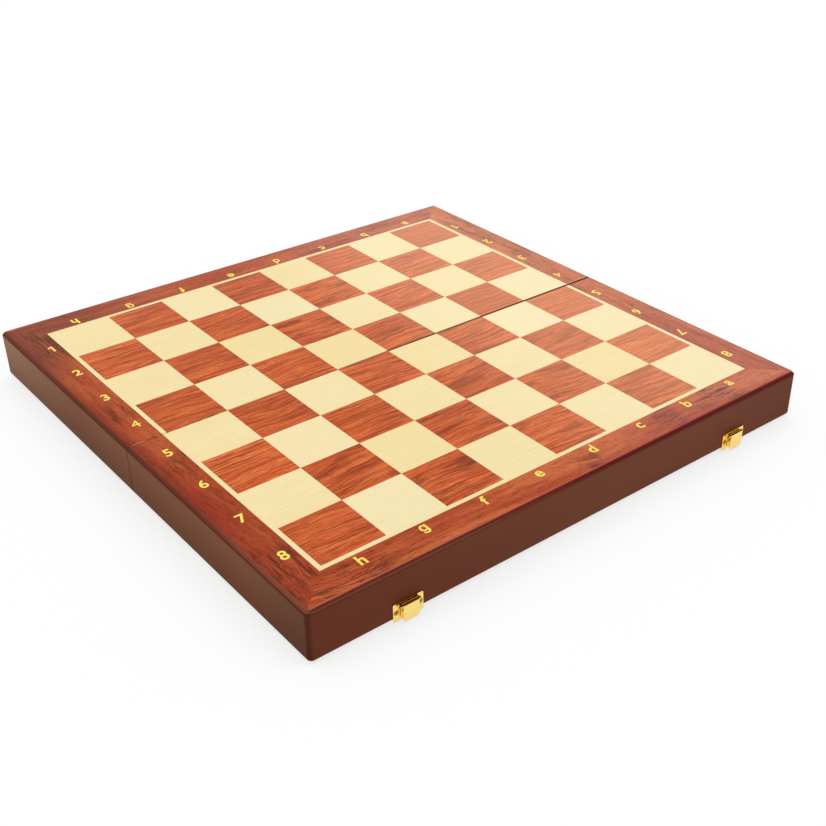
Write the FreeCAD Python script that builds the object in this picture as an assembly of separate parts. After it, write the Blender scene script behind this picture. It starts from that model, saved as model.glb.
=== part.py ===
import FreeCAD, Part
import os

# Folding chess board, lying open and flat. Sizes are in millimetres.
# X runs along the fold, Y from the latch side to the strike side, Z up from the table.
# The origin lies on the table, under the middle of the fold.

# Playing field
SQUARE = 42.0
SQUARES_ACROSS = 8
INLAY = 3.0
BORDER = 21.5
VENEER = 0.6

# Half cases
CASE_DEPTH = 33.0
WALL = 10.0
PANEL = 6.0
EDGE_LIP = 0.7
EDGE_BEVEL = 1.8
EDGE_SOFTENING = 0.3
GROOVE_DEPTH = 0.35
GROOVE_DROP = 0.6
CORNER_RADIUS = 3.0
FOOT_RADIUS = 2.0
SEAM_GAP = 0.4
SEAM_EASE = 0.4
CLOSED_GAP = 0.6
LINING = 1.0
LINING_CLEARANCE = 0.3

# Butt hinges in the rims of the seam walls
HINGE_INSET = 85.0
HINGE_LENGTH = 24.0
LEAF_WIDTH = 9.0
KNUCKLE_RADIUS = 1.5
CENTRE_KNUCKLE = 7.8
KNUCKLE_GAP = 0.2
HINGE_PIN_RADIUS = 0.6
HINGE_SCREW_X = 7.0
HINGE_SCREW_Y = 5.6

# Latches on the front wall and strikes on the rear wall
LATCH_INSET = 62.0
PLATE_HALF_WIDTH = 10.1
PLATE_FOOT = 0.9
PLATE_TOP = 12.8
PLATE_CORNER = 0.9
NOTCH_TOP = 3.6
LATCH_SCREW_X = 8.0
LATCH_SCREW_Z = 6.9
PIVOT_OUT = 2.4
PIVOT_Z = 10.9
LATCH_PIN_RADIUS = 0.5
LUG_RADIUS = 0.9
FLAP_HALF_WIDTH = 5.4
FLAP_BACK = 1.1
FLAP_FRONT = 4.2
FLAP_FOOT = 1.1
FLAP_CORNER = 2.0
FLAP_BEND = 0.6
HOOK_REACH = 1.4
STRIKE_HALF_WIDTH = 9.0
STRIKE_HEIGHT = 6.6
STRIKE_LIP = 2.6
STRIKE_SCREW_X = 6.4
STRIKE_CLEARANCE = 0.4

# Sheet metal, screws and clearances shared by all the fittings
SHEET = 0.8
SCREW_RADIUS = 0.9
SCREW_HEAD_RADIUS = 1.75
SCREW_LENGTH = 8.0
RECESS_WIDTH = 0.5
RECESS_DEPTH = 0.45
FIXED_CLEARANCE = 0.02
RUNNING_CLEARANCE = 0.06
FITTING_CLEARANCE = 0.1
SIDE_CLEARANCE = 0.3
GROOVE_CLEARANCE = 0.4

# Levels
AXIS_Z = KNUCKLE_RADIUS
RIM_Z = AXIS_Z + CLOSED_GAP / 2
TOP_Z = RIM_Z + CASE_DEPTH
VENEER_Z = TOP_Z - VENEER
PANEL_Z = VENEER_Z - PANEL
STRIKE_Z = 2 * AXIS_Z + STRIKE_CLEARANCE

# Distances from the middle of the board along X, and from the fold along Y
FIELD_X = SQUARES_ACROSS / 2 * SQUARE
INLAY_X = FIELD_X + INLAY
FLAT_X = INLAY_X + BORDER
OUTER_X = FLAT_X + EDGE_LIP + EDGE_BEVEL
SEAM_Y = SEAM_GAP / 2
FIELD_Y = SEAM_Y + SQUARES_ACROSS / 2 * SQUARE
INLAY_Y = FIELD_Y + INLAY
FLAT_Y = INLAY_Y + BORDER
OUTER_Y = FLAT_Y + EDGE_LIP + EDGE_BEVEL
TRAY_X = OUTER_X - WALL
TRAY_NEAR_Y = SEAM_Y + WALL
TRAY_FAR_Y = OUTER_Y - WALL
HINGE_X = OUTER_X - HINGE_INSET
LATCH_X = OUTER_X - LATCH_INSET

FRONT = -1
REAR = 1
HALVES = {"front": FRONT, "rear": REAR}
ENDS = {"left": -1, "right": 1}
# Room that a cutting shape takes past the face that it cuts
PAST = 1.0
# Closeness at which a corner counts as lying on a line
NEAR = 1e-4

parts = {}


def point(x, y, z):
    return FreeCAD.Vector(x, y, z)


def box(x0, x1, y0, y1, z0, z1):
    return Part.makeBox(x1 - x0, y1 - y0, z1 - z0, point(x0, y0, z0))


def prism(corners, along):
    """A closed outline of points, drawn out along a vector."""
    outline = Part.makePolygon(corners + corners[:1])
    return Part.Face(outline).extrude(along)


def slab(corners, z0, z1):
    """A plan outline of (x, y) corners between two levels."""
    return prism([point(x, y, z0) for x, y in corners], point(0, 0, z1 - z0))


def rod_x(radius, x0, x1, y, z):
    return Part.makeCylinder(radius, x1 - x0, point(x0, y, z), point(1, 0, 0))


def on_side(shape, side):
    """Shapes are drawn on the rear half, and the front half's are their mirror image."""
    if side == REAR:
        return shape
    return shape.mirror(point(0, 0, 0), point(0, 1, 0))


def edges_through(shape, places):
    """The upright edges of a shape that stand at the given (x, y) places."""
    found = []
    for edge in shape.Edges:
        span = edge.BoundBox
        for x, y in places:
            stands = span.XLength < NEAR and span.YLength < NEAR
            if stands and abs(span.Center.x - x) < NEAR and abs(span.Center.y - y) < NEAR:
                found.append(edge)
    return found


def outer_edges_at(shape, level):
    """The edges of a half case at one level, all but the one along the seam."""
    found = []
    for edge in shape.Edges:
        span = edge.BoundBox
        if abs(span.ZMin - level) < NEAR and span.ZLength < NEAR and span.YMax > SEAM_Y + NEAR:
            found.append(edge)
    return found


def seam_easing():
    """What is taken off a half case along its top and upright edges at the seam."""
    cuts = [
        prism(
            [
                point(-OUTER_X - PAST, SEAM_Y, TOP_Z - SEAM_EASE),
                point(-OUTER_X - PAST, SEAM_Y, TOP_Z),
                point(-OUTER_X - PAST, SEAM_Y + SEAM_EASE, TOP_Z),
            ],
            point(2 * (OUTER_X + PAST), 0, 0),
        )
    ]
    for end in ENDS.values():
        x = end * OUTER_X
        corner = [(x, SEAM_Y), (x - end * SEAM_EASE, SEAM_Y), (x, SEAM_Y + SEAM_EASE)]
        cuts.append(slab(corner, RIM_Z - PAST, TOP_Z + PAST))
    return cuts


def case_block():
    """One half of the case as a block, with a bevelled and grooved top edge, rounded corners and foot."""
    block = box(-OUTER_X, OUTER_X, SEAM_Y, OUTER_Y, RIM_Z, TOP_Z)
    corners = [(-OUTER_X, OUTER_Y), (OUTER_X, OUTER_Y)]
    block = block.makeFillet(CORNER_RADIUS, edges_through(block, corners))
    block = block.makeChamfer(EDGE_BEVEL, outer_edges_at(block, TOP_Z))
    bevel_edges = outer_edges_at(block, TOP_Z) + outer_edges_at(block, TOP_Z - EDGE_BEVEL)
    block = block.makeFillet(EDGE_SOFTENING, bevel_edges)
    block = block.makeFillet(FOOT_RADIUS, outer_edges_at(block, RIM_Z))
    return grooved(block).cut(seam_easing())


def grooved(block):
    """The block with a fine groove round its outer sides, just under the bevel."""
    level = TOP_Z - EDGE_BEVEL - GROOVE_DROP
    above = block.common(box(-OUTER_X, OUTER_X, SEAM_Y, OUTER_Y, level, TOP_Z))
    below = block.common(box(-OUTER_X, OUTER_X, SEAM_Y, OUTER_Y, RIM_Z, level))
    above = above.makeChamfer(GROOVE_DEPTH, outer_edges_at(above, level))
    below = below.makeChamfer(GROOVE_DEPTH, outer_edges_at(below, level))
    return above.fuse(below).removeSplitter()


def case_walls(block):
    """The four mitred walls under the panel."""
    ring = block.common(box(-OUTER_X, OUTER_X, SEAM_Y, OUTER_Y, RIM_Z, PANEL_Z))
    ring = ring.cut(box(-TRAY_X, TRAY_X, TRAY_NEAR_Y, TRAY_FAR_Y, RIM_Z - PAST, PANEL_Z + PAST))
    # Each mitre runs along the diagonal from an outer corner to the tray's corner.
    outer_x = OUTER_X + PAST
    inner_x = TRAY_X - PAST
    outer_far, inner_far = OUTER_Y + PAST, TRAY_FAR_Y - PAST
    outer_near, inner_near = SEAM_Y - PAST, TRAY_NEAR_Y + PAST
    plans = {
        "outer_wall": [(-outer_x, outer_far), (-inner_x, inner_far), (inner_x, inner_far), (outer_x, outer_far)],
        "seam_wall": [(-outer_x, outer_near), (-inner_x, inner_near), (inner_x, inner_near), (outer_x, outer_near)],
    }
    for name, end in ENDS.items():
        plans[name + "_wall"] = [
            (end * outer_x, outer_near),
            (end * inner_x, inner_near),
            (end * inner_x, inner_far),
            (end * outer_x, outer_far),
        ]
    return {name: ring.common(slab(plan, RIM_Z, PANEL_Z)) for name, plan in plans.items()}


def veneer_bed():
    """The room for the veneers in the panel, with outer corners that follow those of the bevel."""
    bed = box(-FLAT_X, FLAT_X, SEAM_Y, FLAT_Y, VENEER_Z, TOP_Z)
    corners = [(-FLAT_X, FLAT_Y), (FLAT_X, FLAT_Y)]
    return bed.makeFillet(CORNER_RADIUS - EDGE_BEVEL - EDGE_LIP, edges_through(bed, corners))


def case_panel(block):
    """The board on top of the walls, sunk by one veneer inside a narrow lip."""
    panel = block.common(box(-OUTER_X, OUTER_X, SEAM_Y, OUTER_Y, PANEL_Z, TOP_Z))
    return panel.cut(veneer_bed())


def veneer(corners):
    """A veneer or a strip, with its edge eased where it ends at the seam."""
    sheet = slab(corners, VENEER_Z, TOP_Z)
    if min(y for x, y in corners) > SEAM_Y + SEAM_EASE:
        return sheet
    return sheet.cut(seam_easing())


def field_squares(first_row_dark_column):
    """The dark and the light squares of one half, row by row from the seam."""
    dark, light = [], []
    for row in range(SQUARES_ACROSS // 2):
        for column in range(SQUARES_ACROSS):
            x = -FIELD_X + column * SQUARE
            y = SEAM_Y + row * SQUARE
            square = veneer([(x, y), (x + SQUARE, y), (x + SQUARE, y + SQUARE), (x, y + SQUARE)])
            is_dark = (row + column) % 2 == first_row_dark_column
            (dark if is_dark else light).append(square)
    return Part.makeCompound(dark), Part.makeCompound(light)


def mitred_frame(inner_x, inner_y, outer_x, outer_y):
    """Three strips round a half field, mitred at its two outer corners."""
    strips = {
        "outer": [(-outer_x, outer_y), (-inner_x, inner_y), (inner_x, inner_y), (outer_x, outer_y)]
    }
    for name, end in ENDS.items():
        strips[name] = [
            (end * outer_x, SEAM_Y),
            (end * inner_x, SEAM_Y),
            (end * inner_x, inner_y),
            (end * outer_x, outer_y),
        ]
    return {name: veneer(corners) for name, corners in strips.items()}


def tray_lining():
    """The cloth under the panel, inside the walls."""
    gap = LINING_CLEARANCE
    return box(-TRAY_X + gap, TRAY_X - gap, TRAY_NEAR_Y + gap, TRAY_FAR_Y - gap, PANEL_Z - LINING, PANEL_Z)


def screw_outline(extra, length):
    """A countersunk screw along +Z, with its head's face at the origin."""
    head = Part.makeCone(SCREW_HEAD_RADIUS + extra, SCREW_RADIUS + extra, SHEET)
    shank = Part.makeCylinder(SCREW_RADIUS + extra, length)
    return head.fuse(shank)


def screw():
    """A countersunk screw with a cross recess and a pointed end."""
    reach = SCREW_HEAD_RADIUS * 0.6
    point_length = 2 * SCREW_RADIUS
    body = screw_outline(0, SCREW_LENGTH - point_length)
    tip = Part.makeCone(SCREW_RADIUS, SCREW_RADIUS / 4, point_length)
    tip.translate(point(0, 0, SCREW_LENGTH - point_length))
    half = RECESS_WIDTH / 2
    slot = box(-reach, reach, -half, half, -PAST, RECESS_DEPTH)
    cross = box(-half, half, -reach, reach, -PAST, RECESS_DEPTH)
    return body.fuse(tip).removeSplitter().cut([slot, cross])


def screw_hole():
    """The countersunk hole and pilot hole of one screw, with its clearance."""
    return screw_outline(FIXED_CLEARANCE, SCREW_LENGTH + FITTING_CLEARANCE)


def into_rim(shape, x, y):
    """A screw's shape, set into a seam wall's rim from below."""
    moved = shape.copy()
    moved.translate(point(x, y, RIM_Z))
    return moved


def into_outer_wall(shape, x, z):
    """A screw's shape, set through a fitting into the rear wall's outer face."""
    moved = shape.copy()
    moved.rotate(point(0, 0, 0), point(1, 0, 0), 90)
    moved.translate(point(x, OUTER_Y + SHEET, z))
    return moved


def hinge_screw_places():
    places = []
    for end in ENDS.values():
        for offset in (-HINGE_SCREW_X, HINGE_SCREW_X):
            places.append((end * HINGE_X + offset, HINGE_SCREW_Y))
    return places


def fitting_screw_places(screw_x, screw_z):
    places = []
    for end in ENDS.values():
        for offset in (-screw_x, screw_x):
            places.append((end * LATCH_X + offset, screw_z))
    return places


def hinge_mortise(x):
    """What a seam wall loses for one hinge: the leaf's bed and the room round the barrel."""
    half = HINGE_LENGTH / 2 + FITTING_CLEARANCE
    bed = box(x - half, x + half, SEAM_Y - PAST, LEAF_WIDTH + FITTING_CLEARANCE, RIM_Z - PAST, RIM_Z + SHEET)
    groove = rod_x(KNUCKLE_RADIUS + GROOVE_CLEARANCE, x - half, x + half, 0, AXIS_Z)
    return bed.fuse(groove)


def hinge_leaf(x, own_knuckles, other_knuckles, pin_clearance):
    """A leaf flush with the rim, its knuckles on the axis, cut back by the other leaf's knuckles."""
    half = HINGE_LENGTH / 2
    leaf = box(x - half, x + half, 0, LEAF_WIDTH, RIM_Z, RIM_Z + SHEET)
    for start, stop in other_knuckles:
        room = box(
            x + start - KNUCKLE_GAP,
            x + stop + KNUCKLE_GAP,
            -PAST,
            KNUCKLE_RADIUS + GROOVE_CLEARANCE,
            RIM_Z - PAST,
            RIM_Z + SHEET + PAST,
        )
        leaf = leaf.cut(room)
    for start, stop in own_knuckles:
        leaf = leaf.fuse(rod_x(KNUCKLE_RADIUS, x + start, x + stop, 0, AXIS_Z))
    bore = rod_x(HINGE_PIN_RADIUS + pin_clearance, x - half - PAST, x + half + PAST, 0, AXIS_Z)
    holes = [into_rim(screw_hole(), at_x, at_y) for at_x, at_y in hinge_screw_places()]
    return leaf.removeSplitter().cut([bore] + holes)


def add_hinges():
    """Two butt hinges: the front leaf has the two outer knuckles and holds the pin."""
    half = HINGE_LENGTH / 2
    inner = CENTRE_KNUCKLE / 2
    centre = [(-inner, inner)]
    outside = [(-half, -inner - KNUCKLE_GAP), (inner + KNUCKLE_GAP, half)]
    for name, end in ENDS.items():
        x = end * HINGE_X
        front_leaf = hinge_leaf(x, outside, centre, FIXED_CLEARANCE)
        parts["hinge_" + name + "_front_leaf"] = on_side(front_leaf, FRONT)
        parts["hinge_" + name + "_rear_leaf"] = hinge_leaf(x, centre, outside, RUNNING_CLEARANCE)
        parts["hinge_" + name + "_pin"] = rod_x(HINGE_PIN_RADIUS, x - half, x + half, 0, AXIS_Z)


def from_wall(half_width, out0, out1, z0, z1):
    """A block that stands out from the rear wall's outer face, about x = 0."""
    return box(-half_width, half_width, OUTER_Y + out0, OUTER_Y + out1, z0, z1)


def cross_edges(shape, places):
    """The edges of a fitting that run along Y, at the given (x, z) places."""
    found = []
    for edge in shape.Edges:
        span = edge.BoundBox
        for x, z in places:
            runs = span.XLength < NEAR and span.ZLength < NEAR
            if runs and abs(span.Center.x - x) < NEAR and abs(span.Center.z - z) < NEAR:
                found.append(edge)
    return found


def pivot_rod(radius, x0, x1):
    return rod_x(radius, x0, x1, OUTER_Y + PIVOT_OUT, PIVOT_Z)


def latch_plate(lug_inner, tongue_half):
    """The plate on the wall: two screwed ears, a notch for the strike and two lugs for the pin.

    The lugs are bent out of the plate, so they leave a window between them.
    """
    notch_half = tongue_half + GROOVE_CLEARANCE
    lug_outer = lug_inner + SHEET
    plate = from_wall(PLATE_HALF_WIDTH, 0, SHEET, PLATE_FOOT, PLATE_TOP)
    notch = from_wall(notch_half, -PAST, SHEET + PAST, PLATE_FOOT - PAST, NOTCH_TOP)
    lug_foot, lug_top = PIVOT_Z - LUG_RADIUS, PIVOT_Z + LUG_RADIUS
    window = from_wall(lug_inner, -PAST, SHEET + PAST, lug_foot, lug_top)
    plate = plate.cut([notch, window])
    rounded = []
    for end in ENDS.values():
        rounded.append((end * PLATE_HALF_WIDTH, PLATE_FOOT))
        rounded.append((end * PLATE_HALF_WIDTH, PLATE_TOP))
        rounded.append((end * notch_half, PLATE_FOOT))
    plate = plate.makeFillet(PLATE_CORNER, cross_edges(plate, rounded))
    for end in ENDS.values():
        x0, x1 = sorted((end * lug_outer, end * lug_inner))
        arm = box(x0, x1, OUTER_Y + SHEET / 2, OUTER_Y + PIVOT_OUT, lug_foot, lug_top)
        plate = plate.fuse([arm, pivot_rod(LUG_RADIUS, x0, x1)])
    bore = pivot_rod(LATCH_PIN_RADIUS + FIXED_CLEARANCE, -lug_outer - PAST, lug_outer + PAST)
    holes = [into_outer_wall(screw_hole(), end * LATCH_SCREW_X, LATCH_SCREW_Z) for end in ENDS.values()]
    return plate.removeSplitter().cut([bore] + holes)


def latch_flap(flange_inner):
    """The swinging flap: a front, a top rolled round the pin, two flanges and a hook lip along its foot."""
    roll_radius = PIVOT_OUT - FLAP_BACK
    top = PIVOT_Z + roll_radius
    front = from_wall(FLAP_HALF_WIDTH, FLAP_FRONT - SHEET, FLAP_FRONT, FLAP_FOOT, top)
    foot = [(-FLAP_HALF_WIDTH, FLAP_FOOT), (FLAP_HALF_WIDTH, FLAP_FOOT)]
    front = front.makeFillet(FLAP_CORNER, cross_edges(front, foot))
    roof = from_wall(FLAP_HALF_WIDTH, PIVOT_OUT, FLAP_FRONT - SHEET, top - SHEET, top)
    roll = pivot_rod(roll_radius, -FLAP_HALF_WIDTH, FLAP_HALF_WIDTH)
    hook_half = FLAP_HALF_WIDTH - FLAP_CORNER
    hook = from_wall(hook_half, HOOK_REACH, FLAP_FRONT - SHEET / 2, FLAP_FOOT, FLAP_FOOT + SHEET)
    flap = front.fuse([roof, roll, hook])
    flange_foot = FLAP_FOOT + FLAP_CORNER
    for end in ENDS.values():
        x0, x1 = sorted((end * flange_inner, end * FLAP_HALF_WIDTH))
        flange = box(x0, x1, OUTER_Y + FLAP_BACK, OUTER_Y + FLAP_FRONT - SHEET, flange_foot, PIVOT_Z)
        flap = flap.fuse(flange)
    flap = flap.removeSplitter()
    bends = []
    for edge in flap.Edges:
        span = edge.BoundBox
        on_front = abs(span.YMin - OUTER_Y - FLAP_FRONT) < NEAR and span.YLength < NEAR
        upright = span.XLength < NEAR and span.ZLength > roll_radius
        along_top = span.ZLength < NEAR and abs(span.Center.z - top) < NEAR
        if on_front and (upright or along_top):
            bends.append(edge)
    flap = flap.makeFillet(FLAP_BEND, bends)
    reach = FLAP_HALF_WIDTH + PAST
    return flap.cut(pivot_rod(LATCH_PIN_RADIUS + RUNNING_CLEARANCE, -reach, reach))


def latch_pin(lug_inner):
    """The pivot pin, with a flat rivet head outside each lug."""
    inside = lug_inner + SHEET + FITTING_CLEARANCE
    pin = pivot_rod(LATCH_PIN_RADIUS, -inside, inside)
    for end in ENDS.values():
        x0, x1 = sorted((end * inside, end * (inside + SHEET / 2)))
        pin = pin.fuse(pivot_rod(LATCH_PIN_RADIUS + SHEET / 2, x0, x1))
    return pin.removeSplitter()


def strike(tongue_half):
    """The plate that the flap hooks onto: two ears, and a tongue with a lip past the rim."""
    plate_top = STRIKE_Z + STRIKE_HEIGHT
    plate = from_wall(STRIKE_HALF_WIDTH, 0, SHEET, STRIKE_Z, plate_top)
    corners = []
    for end in ENDS.values():
        corners.append((end * STRIKE_HALF_WIDTH, STRIKE_Z))
        corners.append((end * STRIKE_HALF_WIDTH, plate_top))
    plate = plate.makeFillet(PLATE_CORNER, cross_edges(plate, corners))
    tongue = from_wall(tongue_half, 0, SHEET, 0, STRIKE_Z)
    lip = from_wall(tongue_half, 0, STRIKE_LIP, 0, SHEET)
    holes = [into_outer_wall(screw_hole(), end * STRIKE_SCREW_X, strike_screw_z()) for end in ENDS.values()]
    return plate.fuse([tongue, lip]).removeSplitter().cut(holes)


def strike_screw_z():
    return STRIKE_Z + STRIKE_HEIGHT / 2


def at_latch(shape, end):
    moved = shape.copy()
    moved.translate(point(end * LATCH_X, 0, 0))
    return moved


def add_latches():
    """Two latches on the front wall, and the strikes that they meet on the rear wall."""
    flange_inner = FLAP_HALF_WIDTH - SHEET
    tongue_half = flange_inner - SIDE_CLEARANCE
    lug_inner = FLAP_HALF_WIDTH + SIDE_CLEARANCE
    for name, end in ENDS.items():
        parts["latch_" + name + "_plate"] = on_side(at_latch(latch_plate(lug_inner, tongue_half), end), FRONT)
        parts["latch_" + name + "_flap"] = on_side(at_latch(latch_flap(flange_inner), end), FRONT)
        parts["latch_" + name + "_pin"] = on_side(at_latch(latch_pin(lug_inner), end), FRONT)
        parts["strike_" + name] = at_latch(strike(tongue_half), end)


def add_screws():
    """The screws of each fitting, one group to a half and kind, and their holes in the walls."""
    latch_places = fitting_screw_places(LATCH_SCREW_X, LATCH_SCREW_Z)
    strike_places = fitting_screw_places(STRIKE_SCREW_X, strike_screw_z())
    hinge_screws = [into_rim(screw(), x, y) for x, y in hinge_screw_places()]
    hinge_holes = [into_rim(screw_hole(), x, y) for x, y in hinge_screw_places()]
    mortises = [hinge_mortise(end * HINGE_X) for end in ENDS.values()]
    for half, side in HALVES.items():
        screws = Part.makeCompound(hinge_screws)
        parts["hinge_screws_" + half] = on_side(screws, side)
        cuts = [on_side(cut, side) for cut in hinge_holes + mortises]
        parts[half + "_seam_wall"] = parts[half + "_seam_wall"].cut(cuts)
    for name, half, side, places in (
        ("latch_screws", "front", FRONT, latch_places),
        ("strike_screws", "rear", REAR, strike_places),
    ):
        screws = Part.makeCompound([into_outer_wall(screw(), x, z) for x, z in places])
        parts[name] = on_side(screws, side)
        holes = [on_side(into_outer_wall(screw_hole(), x, z), side) for x, z in places]
        parts[half + "_outer_wall"] = parts[half + "_outer_wall"].cut(holes)


def add_half_cases():
    """Walls, panel, veneers and lining of both halves."""
    block = case_block()
    walls = case_walls(block)
    borders = mitred_frame(INLAY_X, INLAY_Y, FLAT_X, FLAT_Y)
    inlay = Part.makeCompound(list(mitred_frame(FIELD_X, FIELD_Y, INLAY_X, INLAY_Y).values()))
    for half, side in HALVES.items():
        for name, wall in walls.items():
            parts[half + "_" + name] = on_side(wall, side)
        for name, strip in borders.items():
            parts[half + "_border_" + name] = on_side(strip.common(veneer_bed()), side)
        # The left corner square nearest the latches is dark, and the colours alternate from there.
        dark, light = field_squares(1 if side == FRONT else 0)
        parts[half + "_dark_squares"] = on_side(dark, side)
        parts[half + "_light_squares"] = on_side(light, side)
        parts[half + "_inlay"] = on_side(inlay, side)
        parts[half + "_panel"] = on_side(case_panel(block), side)
        parts[half + "_lining"] = on_side(tray_lining(), side)


add_half_cases()
add_hinges()
add_latches()
add_screws()

os.makedirs("parts", exist_ok=True)
for name, shape in parts.items():
    shape.exportStep("parts/" + name + ".step")
    print(name, len(shape.Solids), "solids,", round(shape.Volume, 1), "mm3, sound:", shape.isValid())
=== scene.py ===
"""The looks of a wooden folding board: two hinged trays with an inlaid field, gilt coordinates,
hook latches and felt linings. The fold runs along x, from the left end to the right, and the latches
are on the front half, towards -y. Lengths are in metres, and places are counted from the middle of the
fold, on the table."""
import math

import bmesh
import bpy
from mathutils import Matrix, Vector, noise


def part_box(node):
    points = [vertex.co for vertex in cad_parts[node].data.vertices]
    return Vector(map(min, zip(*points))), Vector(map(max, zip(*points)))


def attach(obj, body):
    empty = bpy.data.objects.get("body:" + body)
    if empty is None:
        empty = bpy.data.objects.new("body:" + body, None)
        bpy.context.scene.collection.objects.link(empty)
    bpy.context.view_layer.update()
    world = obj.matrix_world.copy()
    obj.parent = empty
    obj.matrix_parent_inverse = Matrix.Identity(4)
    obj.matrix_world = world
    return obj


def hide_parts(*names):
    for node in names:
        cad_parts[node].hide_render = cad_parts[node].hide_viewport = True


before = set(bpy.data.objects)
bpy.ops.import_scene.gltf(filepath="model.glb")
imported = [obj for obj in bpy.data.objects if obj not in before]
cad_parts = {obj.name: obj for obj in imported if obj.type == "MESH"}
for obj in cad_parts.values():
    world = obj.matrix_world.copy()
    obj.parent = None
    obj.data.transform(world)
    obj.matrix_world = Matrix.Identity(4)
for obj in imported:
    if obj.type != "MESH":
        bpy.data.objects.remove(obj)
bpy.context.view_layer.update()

MM = 0.001
SQUARE = 42 * MM
FIELD_HALF = 4 * SQUARE
SEAM_HALF = 0.2 * MM
BEVEL = 1.8 * MM
BOARD_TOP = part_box("front_border_outer")[1].z
BEVEL_FOOT = BOARD_TOP - BEVEL
OUTER_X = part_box("front_panel")[1].x
OUTER_Y = -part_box("front_panel")[0].y
# The two halves, and the side of the fold that each lies on
HALVES = {"front": -1, "rear": 1}


class Wire:
    """One socket in a finish's nodes. Sums written with wires add Math nodes."""

    # The sockets of a Mix node that mixes colours
    FACTOR, UNDER, OVER, MIXED = 0, 6, 7, 2

    def __init__(self, tree, socket):
        self.tree = tree
        self.socket = socket

    def node(self, kind, settings, sockets, out=0):
        """Any other node: its type, its settings, then values or wires for its sockets."""
        made = self.tree.nodes.new("ShaderNode" + kind)
        for name, value in settings.items():
            setattr(made, name, value)
        for name, value in sockets.items():
            if isinstance(value, Wire):
                self.tree.links.new(value.socket, made.inputs[name])
            else:
                made.inputs[name].default_value = value
        return Wire(self.tree, made.outputs[out])

    def sum(self, operation, *terms):
        return self.node("Math", {"operation": operation}, dict(enumerate(terms)))

    def __add__(self, other):
        return self.sum("ADD", self, other)

    def __radd__(self, other):
        return self.sum("ADD", other, self)

    def __sub__(self, other):
        return self.sum("SUBTRACT", self, other)

    def __rsub__(self, other):
        return self.sum("SUBTRACT", other, self)

    def __mul__(self, other):
        return self.sum("MULTIPLY", self, other)

    def __rmul__(self, other):
        return self.sum("MULTIPLY", other, self)

    def __truediv__(self, other):
        return self.sum("DIVIDE", self, other)

    def __rtruediv__(self, other):
        return self.sum("DIVIDE", other, self)

    def __abs__(self):
        return self.sum("ABSOLUTE", self)

    def sign(self):
        return self.sum("SIGN", self)

    def floor(self):
        return self.sum("FLOOR", self)

    def at_most(self, limit):
        return self.sum("MINIMUM", self, limit)

    def rise(self, low, high):
        """0 below low, 1 above high, and soft between."""
        return self.node("MapRange", {"interpolation_type": "SMOOTHSTEP"},
                         {"Value": self, "From Min": low, "From Max": high})

    def fall(self, low, high):
        """1 below low, 0 above high, and soft between."""
        return 1.0 - self.rise(low, high)

    def tint(self, under, over):
        """One colour over another, by as much as this wire says."""
        return self.node("Mix", {"data_type": "RGBA"},
                         {self.FACTOR: self, self.UNDER: under, self.OVER: over}, self.MIXED)

    def vector(self, operation, other):
        return self.node("VectorMath", {"operation": operation}, {0: self, 1: other})

    def parts(self):
        """The x, y and z of this vector."""
        split = self.node("SeparateXYZ", {}, {0: self}).socket.node
        return [Wire(self.tree, socket) for socket in split.outputs]

    def place(self, x, y, z):
        """A vector from three values or wires."""
        return self.node("CombineXYZ", {}, {0: x, 1: y, 2: z})

    def grain(self, scale, detail=3.0, roughness=0.55):
        """Noise stretched by scale, a count per metre along each axis."""
        drawn = self.vector("MULTIPLY", scale)
        return self.node("TexNoise", {}, {"Vector": drawn, "Scale": 1.0, "Detail": detail,
                                          "Roughness": roughness})

    def chance(self):
        """Three random values for each point of this vector."""
        return self.node("TexWhiteNoise", {}, {"Vector": self}, 1)


def even(count):
    """The same count along each axis."""
    return (count, count, count)


def colour(red, green, blue):
    """A colour as a shader's socket takes it."""
    return (red, green, blue, 1.0)


# Wood of the dark squares, and apricot for their painted light towards the right
RED = colour(0.70, 0.122, 0.032)
ORANGE = colour(0.90, 0.222, 0.062)
UMBER = colour(0.16, 0.024, 0.010)
RUSSET = colour(0.40, 0.062, 0.016)
APRICOT = colour(0.92, 0.36, 0.105)
# Wood of the border, with amber for painted light and wine for painted shade
GARNET = colour(0.47, 0.074, 0.024)
COPPER = colour(0.66, 0.155, 0.048)
EMBER = colour(0.07, 0.014, 0.009)
AMBER = colour(0.80, 0.24, 0.06)
WINE = colour(0.24, 0.030, 0.012)
CRIMSON = colour(0.34, 0.030, 0.020)
# Wood of the light squares and the inlay
CREAM = colour(0.94, 0.78, 0.42)
BUTTER = colour(0.93, 0.75, 0.37)
STRAW = colour(0.74, 0.54, 0.24)
IVORY = colour(0.95, 0.83, 0.52)
# Painted highlight and painted gap shade on the edges along the fold
EDGE_HIGHLIGHT = colour(0.86, 0.50, 0.32)
GAP_SHADE = colour(0.115, 0.016, 0.003)
# Paint on the walls, and the painted light and shade on them: dark brown, hazel, fawn and sand
BROWN = colour(0.150, 0.036, 0.017)
TAN = colour(0.178, 0.048, 0.024)
DARK_BROWN = colour(0.045, 0.011, 0.007)
HAZEL = colour(0.118, 0.028, 0.001)
FAWN = colour(0.195, 0.070, 0.022)
SAND = colour(0.31, 0.15, 0.076)
# Paint on the bevel, with its painted highlight and shade, and the painted highlight on its lip
MAROON = colour(0.130, 0.013, 0.011)
OLIVE = colour(0.205, 0.060, 0.034)
CHESTNUT = colour(0.135, 0.030, 0.017)
PECAN = colour(0.087, 0.021, 0.006)
LIP_HIGHLIGHT = colour(0.56, 0.135, 0.085)
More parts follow.
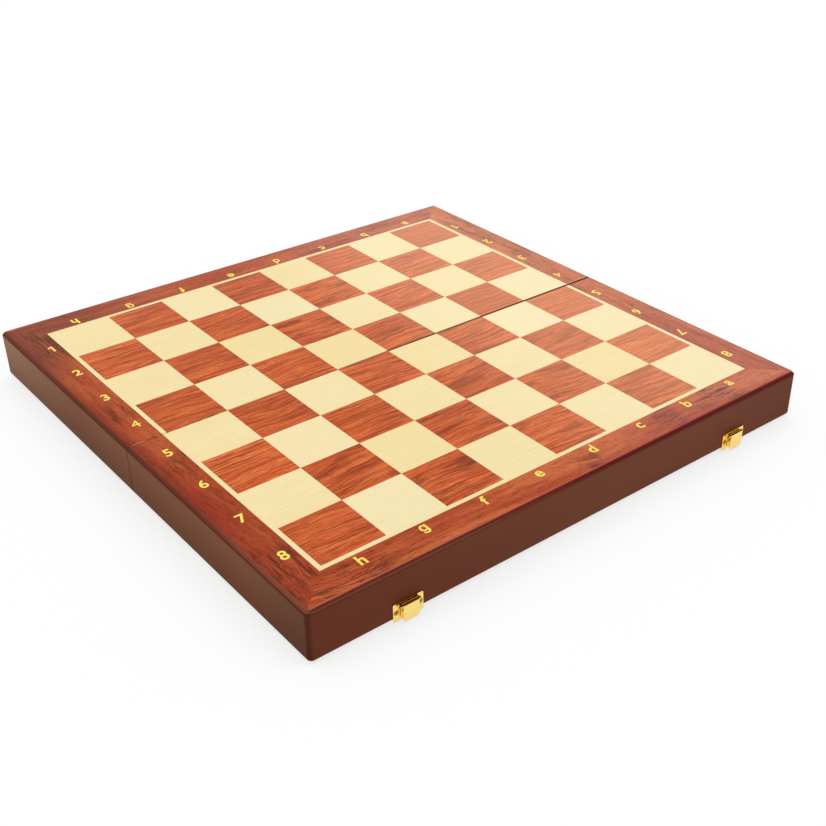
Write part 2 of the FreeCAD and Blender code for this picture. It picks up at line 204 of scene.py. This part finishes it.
# Metal of the fittings, bright and dull, and the foil
GILT = colour(1.0, 0.74, 0.24)
DULL_GILT = colour(0.9, 0.58, 0.15)
BRASS = colour(0.85, 0.58, 0.2)
DULL_BRASS = colour(0.6, 0.38, 0.13)
BRONZE = colour(0.55, 0.30, 0.07)
DULL_BRONZE = colour(0.35, 0.18, 0.04)
GOLD = colour(1.0, 0.79, 0.14)
THIN_GOLD = colour(0.92, 0.64, 0.07)
# Felt
DEEP_GREEN = colour(0.008, 0.045, 0.02)
GREEN = colour(0.03, 0.13, 0.06)
NAP_GREEN = colour(0.04, 0.15, 0.075)
# Studio
WHITE = colour(1.0, 1.0, 1.0)
FLOOR_SHADE = colour(0.8, 0.79, 0.78)
CEILING_CLOTH = colour(0.13, 0.07, 0.04)


class Finish:
    """A material with one shader, whose sockets take numbers or wires."""

    def __init__(self, name, **fixed):
        self.material = bpy.data.materials.new(name)
        self.material.use_nodes = True
        self.tree = self.material.node_tree
        self.shader = self.tree.nodes["Principled BSDF"]
        points = self.tree.nodes.new("ShaderNodeTexCoord")
        self.here = Wire(self.tree, points.outputs["Object"])
        self.set(**fixed)

    def set(self, **sockets):
        for name, value in sockets.items():
            target = self.shader.inputs[name.replace("_", " ")]
            if isinstance(value, Wire):
                self.tree.links.new(value.socket, target)
            else:
                target.default_value = value

    def relief(self, height, depth):
        """Raises the surface by height, from 0 to 1, times depth, and gives the finished material."""
        self.set(Normal=height.node("Bump", {}, {"Height": height, "Distance": depth, "Strength": 1.0}))
        return self.material


# The wood of the top

# Each square is cut anywhere in this length of log, and another deal gives each a new place.
LOG = 3.0
DEAL = 3.0
# How deep in the log a border is cut, by the way its grain runs
BORDER_DEPTH = {"x": 0.3, "y": 1.7}
# How far the grain sways and ripples to the side, and how much it leans for its length
SQUARE_SWAY = 9 * MM
SQUARE_RIPPLE = 4 * MM
SQUARE_LEAN = 0.2
BORDER_SWAY = 16 * MM
BORDER_LEAN = 0.06
# How deep the lacquer sinks into pores and flecks
PORE_DEPTH = 0.02 * MM
FLECK_DEPTH = 0.012 * MM
# The painted gap shade on the edges along the fold: how far it shows past the gap, what it gains to the
# right, how softly it ends, and how rough it makes the edges
EDGE = 0.05 * MM
EDGE_GAIN = 0.65 * MM
EDGE_SOFT = 0.4 * MM
EDGE_ROUGH = 0.8
# Stretches along the fold in which the painted gap shade widens and darkens, and the painted edge
# highlight ends
GAP_SHADE_WIDENING = (-0.13, 0.19)
GAP_SHADE_RISE = (-0.09, 0.03)
HIGHLIGHT_END = (-0.10, -0.04)
# The painted highlight strip beside the edge: where it comes in along the fold, and its two sides
STRIP_PLACE = (FIELD_HALF, FIELD_HALF + 6 * MM)
STRIP_INNER = (0.3 * MM, 0.5 * MM)
STRIP_OUTER = (0.9 * MM, 1.1 * MM)
# Darker parts of the left border, from its outer edge inwards
LEFT_SHADE = (1 * MM, 25 * MM)
LEFT_RIM = (2 * MM, 10 * MM)
# Dark flames along the front and the left border: middle, reach and strength
FRONT_FLAMES = ((-0.168, 0.040, 1.0), (-0.125, 0.028, 0.25), (0.012, 0.011, 0.6), (0.084, 0.014, 0.6),
                (0.127, 0.024, 1.0))
LEFT_FLAMES = ((-0.160, 0.034, 0.8), (-0.085, 0.020, 0.35), (-0.036, 0.022, 0.5), (0.042, 0.018, 0.6),
               (0.155, 0.040, 0.8))
# The share of its reach in which a flame is full
FLAME_CORE = 0.3


def own_pieces(here):
    """Every square is cut elsewhere in the log: its shifted point and three random values."""
    x, y, z = here.parts()
    reach = y - y.sign() * SEAM_HALF
    column = (x / SQUARE).floor()
    row = (reach / SQUARE).floor()
    luck = x.place(column, row, DEAL).chance()
    shift = luck.vector("MULTIPLY", even(LOG))
    inside = x.place(x - (column + 0.5) * SQUARE, reach - (row + 0.5) * SQUARE, z)
    return inside.vector("ADD", shift), luck.parts()


def streaked(paint, dark, streaks):
    """Darkens wood where a grain runs high. A streak is a grain, the values at which it starts and is
    full, and its strength."""
    for grain, start, full, strength in streaks:
        paint = (grain.rise(start, full) * strength).tint(paint, dark)
    return paint


def with_seam(here, paint):
    """The eased edges along the fold: a painted highlight at the left, and painted shade of the gap,
    darker and wider towards the right. Past the field at the right, the rear half has a painted highlight
    strip beside its edge. Gives the colour, and how strong the painted gap shade is."""
    x, y, _ = here.parts()
    # Painted shade of the gap along the fold, wider and darker towards the right.
    half = SEAM_HALF + EDGE + x.rise(*GAP_SHADE_WIDENING) * EDGE_GAIN
    edge = (abs(y) - half).fall(0.0, EDGE_SOFT)
    gap_shade = edge * (0.1 + x.rise(*GAP_SHADE_RISE) * 0.8)
    paint = gap_shade.tint(paint, GAP_SHADE)
    # Painted highlight: a pale strip beside the rear edge, past the field at the right.
    past_edge = y - half
    strip = (past_edge.rise(*STRIP_INNER) - past_edge.rise(*STRIP_OUTER)) * x.rise(*STRIP_PLACE)
    paint = (strip * 0.8).tint(paint, EDGE_HIGHLIGHT)
    # Painted highlight on the eased edges at the left.
    painted_highlight = here.grain((160.0, 40.0, 40.0), 2.0).rise(0.42, 0.58) * x.fall(*HIGHLIGHT_END)
    return (edge * painted_highlight * 0.6).tint(paint, EDGE_HIGHLIGHT), gap_shade


def lacquered(wood, paint, threads, dashes, pores):
    """Lacquer over dark veneer, with open pores and the edges along the fold."""
    paint, gap_shade = with_seam(wood.here, paint)
    wood.set(Base_Color=paint, Roughness=0.15 + threads * 0.06 + pores * 0.05 + gap_shade * EDGE_ROUGH)
    return wood.relief(1.0 - pores.rise(0.58, 0.75) * 0.6 - dashes.rise(0.55, 0.72) * 0.4, PORE_DEPTH)


def square_wood(name):
    """Reddish veneer squares with fine wavy streaks along x, each with its own figure."""
    wood = Finish(name, IOR=1.45)
    board_x, _, _ = wood.here.parts()
    place, (turn, tone, figure) = own_pieces(wood.here)
    x, y, z = place.parts()
    sway = (place.grain((16.0, 30.0, 5.0), 2.0) - 0.5) * SQUARE_SWAY
    ripple = (place.grain((48.0, 60.0, 5.0), 2.0) - 0.5) * SQUARE_RIPPLE
    lean = (turn - 0.5) * x * SQUARE_LEAN
    bent = x.place(x, y + sway + ripple + lean, z)
    ribbons = bent.grain((22.0, 420.0, 5.0), 3.0, 0.55)
    lines = bent.grain((22.0, 640.0, 5.0), 2.0)
    threads = bent.grain((45.0, 1250.0, 5.0), 3.0, 0.6)
    dashes = bent.grain((150.0, 1700.0, 5.0), 2.0)
    specks = bent.grain((420.0, 900.0, 5.0), 2.0)
    knots = bent.grain((30.0, 140.0, 5.0), 4.0, 0.6)
    pores = bent.grain((260.0, 4200.0, 50.0), 2.0)
    paint = ribbons.rise(0.36, 0.62).tint(RED, ORANGE)
    paint = streaked(paint, UMBER, (
        (knots, 0.52, 0.64, 0.08 + figure.rise(0.5, 0.95) * 0.62),
        (lines, 0.53, 0.60, 0.55),
        (threads, 0.50, 0.64, 0.5),
        (dashes, 0.55, 0.68, 0.5),
        (pores, 0.60, 0.72, 0.3),
        (specks, 0.52, 0.68, 0.25),
    ))
    paint = (tone * 0.3).tint(paint, RUSSET)
    # Painted light: the squares turn paler and more orange towards the right, where more light falls.
    painted_light_right = board_x.rise(-0.04, 0.17)
    paint = (painted_light_right * 0.28).tint(paint, APRICOT)
    return lacquered(wood, paint, threads, dashes, pores)


def flame_places(length, places):
    """Where a border's dark flames lie along its length."""
    total = 0.0
    for middle, reach, strength in places:
        total = total + abs(length - middle).fall(reach * FLAME_CORE, reach) * strength
    return total.at_most(1.0)


def side_tones(here, paint, left, right):
    """The tones of the left and the right border, with painted light towards the rear of the right one and
    painted shade towards the front of both, and the darker outer edge of the left one.
    """
    x, y, _ = here.parts()
    from_left = x + OUTER_X
    # Painted light and shade: the right border is lighter towards the rear, and both are darker towards
    # the front.
    right_glow = y.rise(-0.15, 0.08) * right
    left_deep = y.fall(-0.16, 0.3) * left
    right_end = y.fall(-0.2, -0.06) * right
    shade = from_left.fall(*LEFT_SHADE) * (1.0 - y.rise(-0.05, 0.08) * 0.6)
    rim = from_left.fall(*LEFT_RIM) * (0.2 + y.rise(-0.1, 0.05) * 0.22)
    paint = (right_glow * 0.5).tint(paint, AMBER)
    paint = (left_deep * 0.3).tint(paint, WINE)
    paint = (right_end * 0.35).tint(paint, RUSSET)
    paint = (shade * 0.6).tint(paint, CRIMSON)
    return rim.tint(paint, EMBER)


def border_wood(name, along, places):
    """Darker red veneer with patches of dark flame, its grain along x or y."""
    wood = Finish(name, IOR=1.42)
    x, y, _ = wood.here.parts()
    length, width = (x, y) if along == "x" else (y, x)
    flat = x.place(length, width, BORDER_DEPTH[along])
    sway = (flat.grain((14.0, 26.0, 5.0), 3.0) - 0.5) * BORDER_SWAY
    bent = x.place(length, width + sway + length * BORDER_LEAN, BORDER_DEPTH[along])
    clouds = bent.grain((9.0, 80.0, 5.0), 3.0)
    flames = bent.grain((26.0, 250.0, 5.0), 5.0, 0.68)
    specks = bent.grain((420.0, 900.0, 5.0), 2.0)
    threads = bent.grain((30.0, 1000.0, 5.0), 3.0, 0.6)
    dashes = bent.grain((140.0, 1500.0, 5.0), 2.0)
    pores = bent.grain((260.0, 4200.0, 50.0), 2.0)
    # The front and the left border are near, and the rear and the right one far.
    far = width.rise(-0.1, 0.1)
    near = 1.0 - far
    chance_patches = flat.grain((12.0, 34.0, 5.0), 2.0).rise(0.44, 0.60) * 0.5
    patches = chance_patches * far + flame_places(length, places) * near
    paint = clouds.rise(0.34, 0.66).tint(GARNET, COPPER)
    if along == "y":
        paint = side_tones(wood.here, paint, near, far)
    far_left_corner = x.fall(-0.15, -0.07) * y.rise(0.09, 0.145)
    paint = (far_left_corner * 0.45).tint(paint, EMBER)
    paint = streaked(paint, EMBER, (
        (flames, 0.46, 0.60, patches * 0.9),
        (threads, 0.50, 0.68, 0.34),
        (specks, 0.52, 0.68, 0.3),
        (dashes, 0.53, 0.66, 0.34 + patches * 0.4),
        (pores, 0.60, 0.72, 0.25),
    ))
    return lacquered(wood, paint, threads, dashes, pores)


def pale_wood(name, squares):
    """Cream veneer, nearly plain, with faint clouds and flecks along x."""
    wood = Finish(name, IOR=1.42)
    if squares:
        place, (tone, _, figure) = own_pieces(wood.here)
    else:
        place = wood.here
        tone, figure = place.grain(even(12.0)), place.grain(even(9.0))
    clouds = place.grain((10.0, 60.0, 5.0), 3.0)
    lines = place.grain((40.0, 900.0, 5.0), 3.0, 0.6)
    flecks = place.grain((320.0, 1900.0, 50.0), 2.0)
    paint = clouds.rise(0.3, 0.7).tint(CREAM, BUTTER)
    paint = (tone * 0.9).tint(paint, BUTTER)
    paint = (figure * 0.7).tint(paint, IVORY)
    paint = streaked(paint, STRAW, ((lines, 0.45, 0.75, 0.2), (flecks, 0.56, 0.70, 0.3)))
    paint, gap_shade = with_seam(wood.here, paint)
    wood.set(Base_Color=paint, Roughness=0.17 + lines * 0.06 + gap_shade * EDGE_ROUGH)
    return wood.relief(1.0 - flecks.rise(0.6, 0.76), FLECK_DEPTH)


# The paint on the walls and the bevel, with painted light and shade

PAINT_DEPTH = 0.015 * MM
# Soft limits of the left wall, the corner and the left bevel, from the outer faces inwards
WALL_LIMIT = (0.2 * MM, 1.5 * MM)
CORNER_LIMIT = (1.0 * MM, 3.5 * MM)
BEVEL_LIMIT = (2.0 * MM, 4.0 * MM)
# Heights at which the bevel's polish and the lip's painted highlight come in
POLISH_START = (BEVEL_FOOT - 0.2 * MM, BEVEL_FOOT)
LIP_START = (BOARD_TOP - 0.35 * MM, BOARD_TOP - 0.1 * MM)


def wall_tones(here, coat):
    """The paint's tones, all painted light and shade: paler to the right along the front, lighter higher
    up and sandy towards the rear on the left wall, darker at its front end, and dark at the corner
    between.
    """
    x, y, z = here.parts()
    from_left = x + OUTER_X
    from_front = y + OUTER_Y
    height = z.rise(0.0, BOARD_TOP)
    # Painted light and shade: paler to the right and higher up along the front, sandy and lighter higher
    # up and towards the rear on the left wall, darker at its front end and at the corner.
    pale = x.rise(-0.19, 0.0) * (0.12 + height * 0.08) - x.rise(0.13, 0.19) * 0.06
    left_wall = from_left.fall(*WALL_LIMIT)
    rear_end = y.rise(0.06, 0.2)
    front_end = y.fall(-OUTER_Y, -0.13)
    corner = from_left.fall(*CORNER_LIMIT) * from_front.fall(*CORNER_LIMIT)
    coat = pale.tint(coat, SAND)
    sandy = height.tint(HAZEL, FAWN)
    sandy = (rear_end * (0.35 + height * 0.65)).tint(sandy, SAND)
    coat = (left_wall * 0.85).tint(coat, sandy)
    coat = (left_wall * front_end * 0.4).tint(coat, DARK_BROWN)
    return (corner * 0.45).tint(coat, DARK_BROWN)


def bevel_tones(here, coat):
    """The darker polished bevel, with painted highlight and shade along its height, and a painted
    highlight on the lip above it. Gives the colour, and where it is polished.
    """
    x, y, z = here.parts()
    polish = z.rise(*POLISH_START)
    lip = z.rise(*LIP_START)
    up = (z - BEVEL_FOOT) / BEVEL
    at_left = (x + OUTER_X).fall(*BEVEL_LIMIT)
    # Painted highlight at the foot of the front bevel. Painted shade at the foot of the left one, which
    # gets a painted highlight towards its front end.
    front = up.rise(0.15, 0.5).tint(OLIVE, CHESTNUT)
    front = x.rise(-0.12, 0.03).tint(front, MAROON)
    left = y.rise(-0.16, -0.06).tint(OLIVE, CHESTNUT)
    left = up.rise(0.05, 0.5).tint(PECAN, left)
    coat = polish.tint(coat, at_left.tint(front, left))
    # Painted highlight on the lip: weaker towards the right, and nearly none at the left.
    painted_highlight = (0.75 - x.rise(-0.02, 0.12) * 0.4) * (1.0 - at_left * 0.9)
    return (lip * painted_highlight).tint(coat, LIP_HIGHLIGHT), polish


def satin_paint(name, bevelled):
    """Satin paint on wood: soft clouds and faint strokes, with painted light and shade, and a darker
    polish on the bevelled edge.
    """
    paint = Finish(name, IOR=1.11)
    clouds = paint.here.grain((9.0, 9.0, 30.0), 3.0)
    strokes = paint.here.grain((18.0, 18.0, 900.0), 3.0)
    skin = paint.here.grain(even(900.0), 2.0)
    coat = (clouds.rise(0.3, 0.7) * 0.5 + strokes.rise(0.45, 0.8) * 0.25).tint(BROWN, TAN)
    coat = wall_tones(paint.here, coat)
    rough = 0.38 + clouds * 0.06 + skin * 0.05
    if bevelled:
        coat, polish = bevel_tones(paint.here, coat)
        rough = rough - polish * 0.12
    paint.set(Base_Color=coat, Roughness=rough)
    return paint.relief(strokes * 0.6 + skin * 0.4, PAINT_DEPTH)


# The fittings, the foil and the cloth

# Drawing lines in metal: their grain and depth
BRUSHED = ((90.0, 2400.0, 2400.0), 0.006 * MM)
POLISHED = ((500.0, 500.0, 2600.0), 0.002 * MM)
FOIL_DEPTH = 0.01 * MM
FIBRE_DEPTH = 0.25 * MM


def brass(name, bright, dull, rough, drawing):
    """Gilt metal with faint drawing lines and a few dull spots."""
    metal = Finish(name, Metallic=1.0)
    grain, depth = drawing
    lines = metal.here.grain(grain, 2.0)
    spots = metal.here.grain(even(420.0), 3.0).rise(0.55, 0.75)
    metal.set(Base_Color=(spots * 0.6).tint(bright, dull), Roughness=rough + lines * 0.1 + spots * 0.12)
    return metal.relief(lines, depth)


def gold_foil(name):
    """Hot stamped foil, a little mottled where it pressed into the grain."""
    foil = Finish(name, IOR=1.3)
    specks = foil.here.grain(even(900.0), 2.0)
    thin = specks.rise(0.55, 0.72)
    foil.set(Base_Color=(thin * 0.5).tint(GOLD, THIN_GOLD), Roughness=0.34 + thin * 0.2)
    return foil.relief(specks, FOIL_DEPTH)


def felt_cloth(name):
    """Short pressed fibres in deep green, with a soft nap."""
    felt = Finish(name, Roughness=0.95, Sheen_Weight=0.25, Sheen_Roughness=0.4, Specular_IOR_Level=0.2)
    fibres = felt.here.grain(even(1500.0), 4.0, 0.7)
    nap = felt.here.grain(even(60.0), 3.0)
    paint = fibres.rise(0.35, 0.68).tint(DEEP_GREEN, GREEN)
    felt.set(Base_Color=(nap.rise(0.35, 0.7) * 0.3).tint(paint, NAP_GREEN))
    return felt.relief(fibres, FIBRE_DEPTH)


dark_square_wood = square_wood("dark_square_wood")
border_wood_x = border_wood("border_wood_x", "x", FRONT_FLAMES)
border_wood_y = border_wood("border_wood_y", "y", LEFT_FLAMES)
pale_square_wood = pale_wood("pale_square_wood", squares=True)
inlay_wood = pale_wood("inlay_wood", squares=False)
wall_paint = satin_paint("wall_paint", bevelled=False)
edge_paint = satin_paint("edge_paint", bevelled=True)
latch_brass = brass("latch_brass", GILT, DULL_GILT, 0.12, POLISHED)
hinge_brass = brass("hinge_brass", BRASS, DULL_BRASS, 0.26, BRUSHED)
screw_brass = brass("screw_brass", BRONZE, DULL_BRONZE, 0.25, POLISHED)
coordinate_foil = gold_foil("coordinate_foil")
lining_felt = felt_cloth("lining_felt")

# The first words that fit a node's name give its finish.
FINISHES = (
    ("dark_squares", dark_square_wood), ("light_squares", pale_square_wood), ("inlay", inlay_wood),
    ("border_outer", border_wood_x), ("border_left", border_wood_y), ("border_right", border_wood_y),
    ("wall", wall_paint), ("panel", edge_paint), ("screws", screw_brass), ("_pin", screw_brass),
    ("leaf", hinge_brass), ("strike", hinge_brass), ("latch", latch_brass),
)


def dress_nodes():
    """Gives each node its finish, apart from the plain linings, which felt replaces."""
    for name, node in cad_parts.items():
        for words, finish in FINISHES:
            if words in name:
                node.data.materials.clear()
                node.data.materials.append(finish)
                break


def object_from(shape, name, finish):
    """A finished shape as an object of the scene."""
    mesh = bpy.data.meshes.new(name)
    shape.to_mesh(mesh)
    shape.free()
    mesh.materials.append(finish)
    made = bpy.data.objects.new(name, mesh)
    bpy.context.scene.collection.objects.link(made)
    return made


def piece_from(shape, name, finish, body):
    """A finished shape as a piece that moves with a body."""
    piece = object_from(shape, name, finish)
    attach(piece, body)
    return piece


# The coordinates on the border

# Letters from the left end, and each half's digits from the fold outwards
LETTERS = "hgfedcba"
DIGITS = {"front": "5678", "rear": "4321"}
FOIL = 0.03 * MM
WELD = 0.001 * MM
LETTER_Y = 177.0 * MM
LETTER_PITCH = 42.35 * MM
LETTER_SHIFT = -0.8 * MM
# Where the two rows of digits stand, their shifts along the border, and their pitches
LEFT_X = -178.3 * MM
LEFT_SHIFT = 0.2 * MM
LEFT_PITCH = {"front": 42.45 * MM, "rear": SQUARE}
RIGHT_X = 177.9 * MM
RIGHT_SHIFT = -2.7 * MM
RIGHT_PITCH = SQUARE
# Heights of the marks; any other is as tall as a digit.
TALL = {"a": 6.0 * MM, "c": 6.0 * MM, "e": 6.0 * MM, "g": 7.8 * MM}
DIGIT_TALL = 8.3 * MM
# How much bolder than the font's own strokes a mark is, in the font's units; the 4 keeps its own.
BOLD = 0.02
PLAIN_MARKS = "4"
CURVE_STEPS = 6
# A single-storey letter stands in for the g, and the 1 is drawn with its flag, in heights of the mark.
SHAPES = {"g": "\u0261"}
FLAGGED_ONE = ((0.42, 0.0), (0.58, 0.0), (0.58, 1.0), (0.46, 1.0), (0.12, 0.76), (0.20, 0.64),
               (0.42, 0.79))


def mark_mesh(mark):
    """The flat mesh of one letter or digit, in its own units."""
    if mark == "1":
        mesh = bpy.data.meshes.new("mark")
        mesh.from_pydata([(x, y, 0.0) for x, y in FLAGGED_ONE], [], [range(len(FLAGGED_ONE))])
        return mesh
    line = bpy.data.curves.new("mark", "FONT")
    line.body = SHAPES.get(mark, mark)
    line.offset = 0.0 if mark in PLAIN_MARKS else BOLD
    line.resolution_u = CURVE_STEPS
    holder = bpy.data.objects.new("mark", line)
    mesh = bpy.data.meshes.new_from_object(holder)
    bpy.data.objects.remove(holder)
    bpy.data.curves.remove(line)
    return mesh


def stamp(shape, mark, x, y, turned):
    """Adds one letter or digit, its middle at x, y."""
    mesh = mark_mesh(mark)
    low = [min(vertex.co[axis] for vertex in mesh.vertices) for axis in (0, 1)]
    high = [max(vertex.co[axis] for vertex in mesh.vertices) for axis in (0, 1)]
    scale = TALL.get(mark, DIGIT_TALL) / (high[1] - low[1])
    centred = Matrix.Translation((-(low[0] + high[0]) / 2, -(low[1] + high[1]) / 2, 0.0))
    turn = Matrix.Rotation(math.pi if turned else 0.0, 4, "Z")
    mesh.transform(Matrix.Translation((x, y, BOARD_TOP)) @ turn @ Matrix.Scale(scale, 4) @ centred)
    shape.from_mesh(mesh)
    bpy.data.meshes.remove(mesh)


def coordinates():
    """The letters and digits of each half in one piece. At the rear and at the right they are turned."""
    middle = (len(LETTERS) - 1) / 2
    for half, side in HALVES.items():
        shape = bmesh.new()
        for count, letter in enumerate(LETTERS):
            along = (count - middle) * LETTER_PITCH - side * LETTER_SHIFT
            stamp(shape, letter, along, side * LETTER_Y, turned=side > 0)
        for count, digit in enumerate(DIGITS[half]):
            left_y = side * (SQUARE / 2 + count * LEFT_PITCH[half]) + LEFT_SHIFT
            right_y = side * (SQUARE / 2 + count * RIGHT_PITCH) + RIGHT_SHIFT
            stamp(shape, digit, LEFT_X, left_y, turned=False)
            stamp(shape, digit, RIGHT_X, right_y, turned=True)
        bmesh.ops.remove_doubles(shape, verts=shape.verts, dist=WELD)
        bmesh.ops.solidify(shape, geom=shape.faces[:], thickness=FOIL)
        bmesh.ops.recalc_face_normals(shape, faces=shape.faces)
        for face in shape.faces:
            face.smooth = False
        bmesh.ops.translate(shape, vec=(0.0, 0.0, FOIL / 2), verts=shape.verts)
        piece_from(shape, half + "_coordinates", coordinate_foil, half + "_half")


# The linings

FELT = 0.8 * MM
FELT_CELL = 4 * MM
# Faint waves, a count per metre, and the inset that keeps them in the plain lining's place
FELT_WAVE = 0.1 * MM
FELT_WAVES = 60.0
FELT_INSET = 0.12 * MM


def linings():
    """A felt sheet in each tray, glued flat, with faint waves."""
    for half in HALVES:
        low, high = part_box(half + "_lining")
        size = high - low
        middle = (low + high) / 2
        shape = bmesh.new()
        across, deep = int(size.x / FELT_CELL), int(size.y / FELT_CELL)
        bmesh.ops.create_grid(shape, x_segments=across, y_segments=deep, size=0.5)
        bmesh.ops.scale(shape, vec=(size.x, size.y, 1.0), verts=shape.verts)
        bmesh.ops.translate(shape, vec=(middle.x, middle.y, low.z + FELT_INSET), verts=shape.verts)
        for vertex in shape.verts:
            vertex.co.z += FELT_WAVE * noise.noise(vertex.co * FELT_WAVES)
        bmesh.ops.reverse_faces(shape, faces=shape.faces)
        bmesh.ops.solidify(shape, geom=shape.faces[:], thickness=FELT)
        bmesh.ops.recalc_face_normals(shape, faces=shape.faces)
        felt = piece_from(shape, half + "_felt", lining_felt, half + "_half")
        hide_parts(half + "_lining")


# The studio: camera, surrounding light, floor, ceiling and lamps

SOFT_LIGHT = 0.69
FLOOR_HALF = 3.0
FLOOR_SHADE_REACH = 0.16
CEILING_HALF = (2.275, 2.975)
CEILING_MIDDLE = (-0.775, -0.075, 1.25)


def camera():
    """The view of the photo, solved from the corners of the squares."""
    place = Vector((-0.4264, -0.5923, 0.4236))
    heading, down, roll = math.radians(39.88), math.radians(31.05), math.radians(0.39)
    lens = bpy.data.cameras.new("camera")
    lens.lens = 52.25
    lens.sensor_width = 36.0
    lens.shift_x = -0.0620
    eye = bpy.data.objects.new("camera", lens)
    eye.matrix_world = (Matrix.Translation(place) @ Matrix.Rotation(-heading, 4, "Z")
                        @ Matrix.Rotation(math.pi / 2 - down, 4, "X") @ Matrix.Rotation(roll, 4, "Z"))
    bpy.context.scene.collection.objects.link(eye)
    bpy.context.scene.camera = eye


def looked_at(tree):
    """1 where the camera looks, straight, by a mirror or through what is clear, and 0 for other light."""
    path = tree.nodes.new("ShaderNodeLightPath")
    straight = Wire(tree, path.outputs["Is Camera Ray"])
    mirrored = Wire(tree, path.outputs["Is Glossy Ray"])
    through = Wire(tree, path.outputs["Is Transmission Ray"])
    return (straight + mirrored + through).at_most(1.0)


def end_tree(tree, output, looked, unseen, seen):
    """Ends a studio's nodes: one shader where the camera looks, and another for other light."""
    both = looked.node("MixShader", {}, {0: looked, 1: unseen, 2: seen})
    end = tree.nodes.new("ShaderNodeOutput" + output)
    tree.links.new(both.socket, end.inputs["Surface"])


def surroundings():
    """White where it is seen, straight or mirrored, and an even soft light on everything else."""
    world = bpy.data.worlds.new("studio")
    bpy.context.scene.world = world
    world.use_nodes = True
    tree = world.node_tree
    tree.nodes.clear()
    looked = looked_at(tree)
    light = looked.node("Background", {}, {"Color": WHITE, "Strength": SOFT_LIGHT})
    white = looked.node("Background", {}, {"Color": WHITE, "Strength": 1.0})
    end_tree(tree, "World", looked, light, white)


def stage_sheet(name, half, middle, material):
    """A flat sheet of the studio, from the half of its two sides and its middle."""
    shape = bmesh.new()
    bmesh.ops.create_grid(shape, x_segments=1, y_segments=1, size=1.0)
    bmesh.ops.scale(shape, vec=(half[0], half[1], 1.0), verts=shape.verts)
    bmesh.ops.translate(shape, vec=middle, verts=shape.verts)
    return object_from(shape, name, material)


def floor():
    """A clear pale floor: white shows through it, and it darkens softly round what stands on it."""
    material = bpy.data.materials.new("floor")
    material.use_nodes = True
    tree = material.node_tree
    tree.nodes.clear()
    looked = looked_at(tree)
    open_sky = looked.node("AmbientOcclusion", {"samples": 12}, {"Distance": FLOOR_SHADE_REACH}, 1)
    shade = open_sky.rise(0.2, 1.0).tint(FLOOR_SHADE, WHITE)
    shaded = shade.node("BsdfTransparent", {}, {"Color": shade})
    clear = shade.node("BsdfTransparent", {}, {"Color": WHITE})
    end_tree(tree, "Material", looked, clear, shaded)
    ground = stage_sheet("floor", (FLOOR_HALF, FLOOR_HALF), (0.0, 0.0, 0.0), material)


def ceiling():
    """A dark studio ceiling, seen only as a reflection in polished and lacquered surfaces."""
    dark = Finish("ceiling_cloth", Base_Color=CEILING_CLOTH, Roughness=1.0, Specular_IOR_Level=0.0)
    roof = stage_sheet("ceiling", CEILING_HALF, CEILING_MIDDLE, dark.material)
    roof.visible_camera = False
    roof.visible_diffuse = False
    roof.visible_transmission = False
    roof.visible_shadow = False


def lamp(name, place, aim, size, power):
    """A soft square lamp that isn't seen itself."""
    light = bpy.data.lights.new(name, "AREA")
    light.size = size
    light.energy = power
    holder = bpy.data.objects.new(name, light)
    aimed = (Vector(aim) - Vector(place)).to_track_quat("-Z", "Y").to_matrix().to_4x4()
    holder.matrix_world = Matrix.Translation(place) @ aimed
    holder.visible_camera = False
    holder.visible_glossy = False
    bpy.context.scene.collection.objects.link(holder)


dress_nodes()
coordinates()
linings()
camera()
surroundings()
floor()
ceiling()
lamp("overhead", place=(0.12, 0.25, 1.4), aim=(0.0, 0.0, 0.0), size=0.9, power=7.4)
lamp("left_fill", place=(-1.4, 0.75, 0.6), aim=(-0.15, 0.05, 0.02), size=1.2, power=4.5)

bpy.context.scene.view_settings.view_transform = "Standard"
